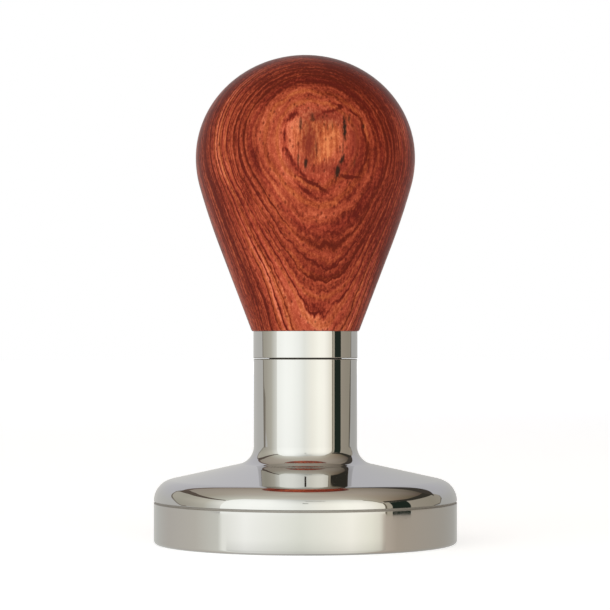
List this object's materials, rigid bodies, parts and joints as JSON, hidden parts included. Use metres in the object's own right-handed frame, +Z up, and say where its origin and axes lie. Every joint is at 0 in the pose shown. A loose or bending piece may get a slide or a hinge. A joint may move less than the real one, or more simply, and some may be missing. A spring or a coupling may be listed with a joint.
{
  "type": "espresso tamper",
  "caption": "Espresso tamper with a flat round polished steel foot and neck, and a turned reddish hardwood knob on a steel ferrule that unscrews from the neck.",
  "frame": {"origin": "centre of the flat tamping face that the tamper stands on", "axes": "+Z up along the axis of turning, from the tamping face to the knob's crown; X and Y are level and alike"},
  "size_m": [0.058, 0.058, 0.0935],
  "materials": {
    "polished_steel": "polished",
    "washer_rubber": "matte",
    "plated_steel": "satin",
    "insert_brass": "satin",
    "knob_wood": "satin"
  },
  "bodies": {
    "foot_body": {"foot": "polished_steel"},
    "washer_body": {"joint_washer": "washer_rubber"},
    "handle_body": {"ferrule": "polished_steel", "knob": "knob_wood", "threaded_insert": "insert_brass", "stud": "plated_steel"}
  },
  "joints": [
    {"name": "handle_rise", "type": "slide", "parent": "foot_body", "child": "washer_body", "axis": [0, 0, 1], "range_m": [0, 0.01]},
    {"name": "handle_turn", "type": "hinge", "parent": "washer_body", "child": "handle_body", "pos_m": [0, 0, 0.03525], "axis": [0, 0, 1], "range_deg": [0, 2880]}
  ],
  "couplings": [
    {"joint": "handle_rise", "follows": "handle_turn", "m_per_rad": 0.00019894}
  ]
}
